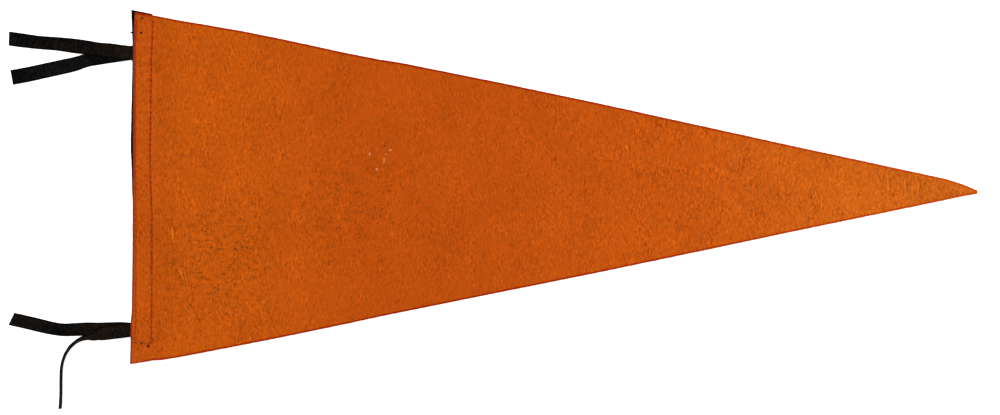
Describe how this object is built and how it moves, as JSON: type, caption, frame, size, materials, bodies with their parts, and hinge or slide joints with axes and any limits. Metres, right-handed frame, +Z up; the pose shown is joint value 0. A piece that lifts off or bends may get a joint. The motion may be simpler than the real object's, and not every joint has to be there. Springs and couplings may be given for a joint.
{
  "type": "pennant flag",
  "caption": "Long triangular felt pennant flag lying on its face, with a dark heading strip along the hoist and folded ties sewn into the heading.",
  "frame": {"origin": "centre of the bottom of the box round the whole lying pennant, ties included, on the surface that it lies on", "axes": "+X from the hoist towards the tip, +Y across the hoist towards the upper tie, +Z up from the surface, out of the plain reverse side"},
  "size_m": [0.8382, 0.345, 0.012],
  "materials": {
    "felt_field": "matte pressed wool felt, slightly fuzzy, soiled and faded with age",
    "felt_dark": "matte pressed wool felt, slightly fuzzy"
  },
  "bodies": {
    "root": {"field": "felt_field", "heading": "felt_dark", "tie_upper": "felt_dark", "tie_lower": "felt_dark"}
  },
  "joints": []
}
